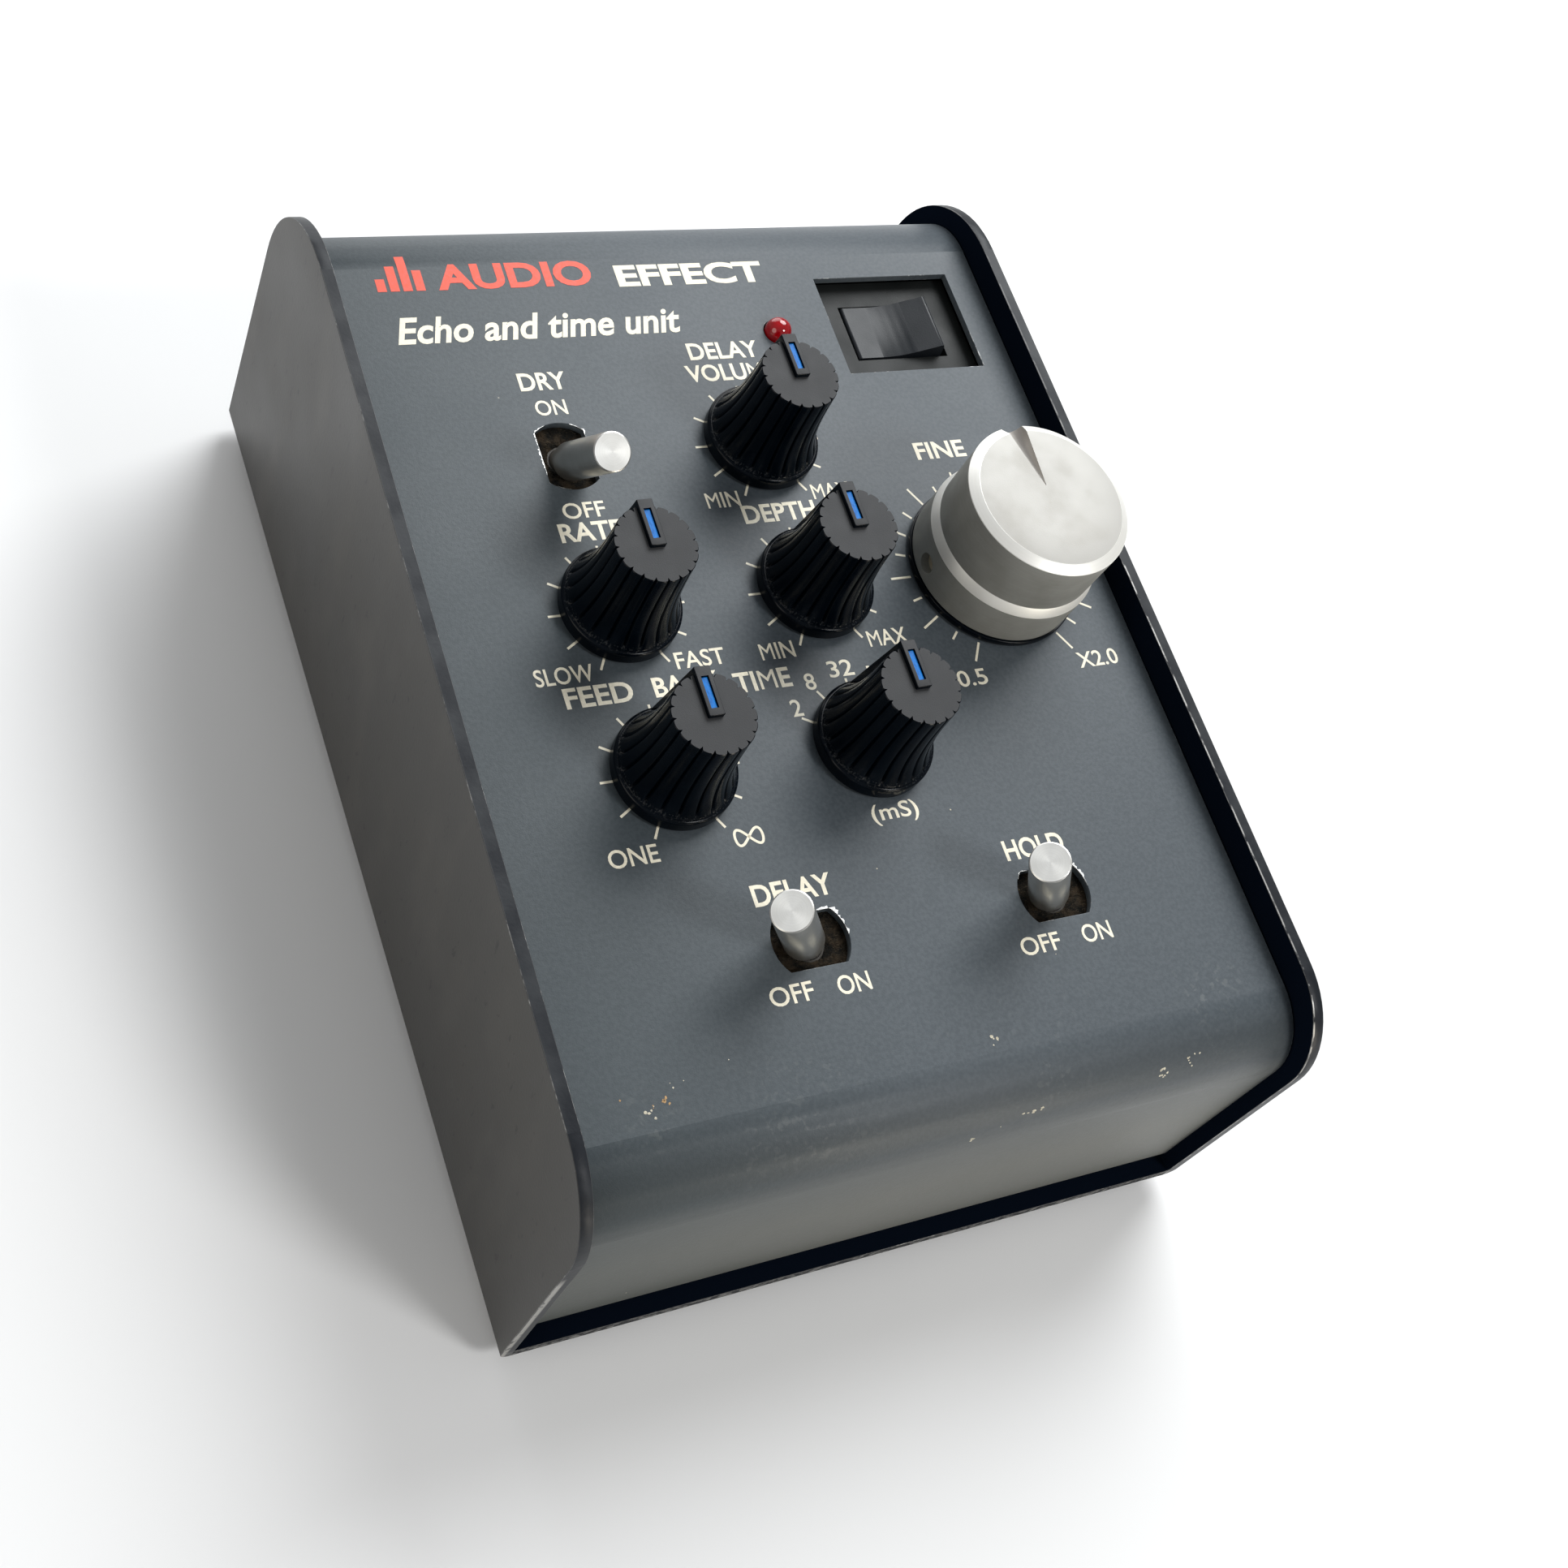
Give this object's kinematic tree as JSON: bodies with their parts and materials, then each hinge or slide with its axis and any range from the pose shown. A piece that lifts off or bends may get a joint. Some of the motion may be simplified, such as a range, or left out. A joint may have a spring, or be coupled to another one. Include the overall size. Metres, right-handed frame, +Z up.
{
  "type": "desktop audio delay effects unit",
  "caption": "Desktop effects unit with a sloping control panel: fluted knobs, one large metal fine-tune knob, toggle switches, a power rocker and rear sockets.",
  "frame": {"origin": "centre of the footprint on the surface it stands on", "axes": "+X to the right of the panel, +Y to the rear, +Z up; the panel rises 5 degrees to the rear"},
  "size_m": [0.11, 0.159, 0.074],
  "materials": {
    "black_painted_steel": "satin black paint, worn at the edges",
    "grey_painted_steel": "fine-textured matt slate paint",
    "rubber": "matt",
    "plated_steel": "bright plated",
    "plate_steel": "dull plated",
    "circuit_board": "paper laminate",
    "black_plastic": "moulded",
    "rocker_plastic": "satin moulded",
    "knob_plastic": "gloss flank, matt top",
    "blue_insert": "gloss",
    "turned_aluminium": "satin turned",
    "lever_metal": "turned",
    "red_lens": "clear tinted",
    "felt": "dusty felt",
    "cable_grey": "moulded"
  },
  "bodies": {
    "case": {"base_chassis": "black_painted_steel", "board_capacitors": "black_plastic", "board_chips": "black_plastic", "board_standoffs": "plated_steel", "bottom_screws": "plated_steel", "control_board": "circuit_board", "control_plate": "plate_steel", "delay_toggle_switch": "plate_steel", "delay_volume_pot": "plate_steel", "depth_pot": "plate_steel", "dry_toggle_switch": "plate_steel", "feedback_pot": "plate_steel", "felt_dust_pads": "felt", "fine_pot": "plate_steel", "foot_screws": "plated_steel", "hold_toggle_switch": "plate_steel", "indicator_lamp": "red_lens", "inner_screws": "plated_steel", "input_socket": "black_plastic", "lamp_ring": "black_plastic", "main_board": "circuit_board", "output_socket": "black_plastic", "plate_spacers": "plated_steel", "pot_nuts": "plated_steel", "power_inlet": "black_plastic", "rate_pot": "plate_steel", "regulator": "black_plastic", "regulator_heatsink": "turned_aluminium", "ribbon_cable": "cable_grey", "ribbon_headers": "black_plastic", "rocker_housing": "black_plastic", "rubber_feet": "rubber", "socket_nuts": "plated_steel", "socket_washers": "plated_steel", "time_rotary_switch": "plate_steel", "toggle_nuts": "plated_steel", "top_shell": "grey_painted_steel"},
    "rate_control": {"rate_knob": "knob_plastic", "rate_pointer_insert": "blue_insert", "rate_shaft": "plated_steel"},
    "feedback_control": {"feedback_knob": "knob_plastic", "feedback_pointer_insert": "blue_insert", "feedback_shaft": "plated_steel"},
    "delay_volume_control": {"delay_volume_knob": "knob_plastic", "delay_volume_pointer_insert": "blue_insert", "delay_volume_shaft": "plated_steel"},
    "depth_control": {"depth_knob": "knob_plastic", "depth_pointer_insert": "blue_insert", "depth_shaft": "plated_steel"},
    "time_control": {"time_knob": "knob_plastic", "time_pointer_insert": "blue_insert", "time_shaft": "plated_steel"},
    "fine_control": {"fine_knob": "turned_aluminium", "fine_knob_base_ring": "knob_plastic", "fine_knob_set_screw": "plated_steel", "fine_shaft": "plated_steel"},
    "dry_lever": {"dry_toggle_lever": "lever_metal"},
    "delay_lever": {"delay_toggle_lever": "lever_metal"},
    "hold_lever": {"hold_toggle_lever": "lever_metal"},
    "rocker": {"rocker_cap": "rocker_plastic"}
  },
  "joints": [
    {"name": "rate_turn", "type": "hinge", "parent": "case", "child": "rate_control", "pos_m": [-0.02625, 0.00057, 0.05389], "axis": [0, -0.0872, 0.9962], "range_deg": [-150, 150]},
    {"name": "feedback_turn", "type": "hinge", "parent": "case", "child": "feedback_control", "pos_m": [-0.02625, -0.02384, 0.05175], "axis": [0, -0.0872, 0.9962], "range_deg": [-150, 150]},
    {"name": "delay_volume_turn", "type": "hinge", "parent": "case", "child": "delay_volume_control", "pos_m": [0.0036, 0.02498, 0.05602], "axis": [0, -0.0872, 0.9962], "range_deg": [-150, 150]},
    {"name": "depth_turn", "type": "hinge", "parent": "case", "child": "depth_control", "pos_m": [0.0036, 0.00057, 0.05389], "axis": [0, -0.0872, 0.9962], "range_deg": [-150, 150]},
    {"name": "time_turn", "type": "hinge", "parent": "case", "child": "time_control", "pos_m": [0.0036, -0.02384, 0.05175], "axis": [0, -0.0872, 0.9962], "range_deg": [-60, 60]},
    {"name": "fine_turn", "type": "hinge", "parent": "case", "child": "fine_control", "pos_m": [0.03345, 0.00057, 0.05389], "axis": [0, -0.0872, 0.9962], "range_deg": [-155, 145]},
    {"name": "dry_throw", "type": "hinge", "parent": "case", "child": "dry_lever", "pos_m": [-0.02625, 0.02533, 0.05425], "axis": [-1, 0, 0], "range_deg": [0, 58]},
    {"name": "delay_throw", "type": "hinge", "parent": "case", "child": "delay_lever", "pos_m": [-0.0148, -0.04908, 0.04774], "axis": [0, 0.9962, 0.0872], "range_deg": [0, 58]},
    {"name": "hold_throw", "type": "hinge", "parent": "case", "child": "hold_lever", "pos_m": [0.02285, -0.04908, 0.04774], "axis": [0, 0.9962, 0.0872], "range_deg": [0, 58]},
    {"name": "rocker_tilt", "type": "hinge", "parent": "case", "child": "rocker", "pos_m": [0.0355, 0.04535, 0.05258], "axis": [0, 0.9962, 0.0872], "range_deg": [0, 19]}
  ]
}
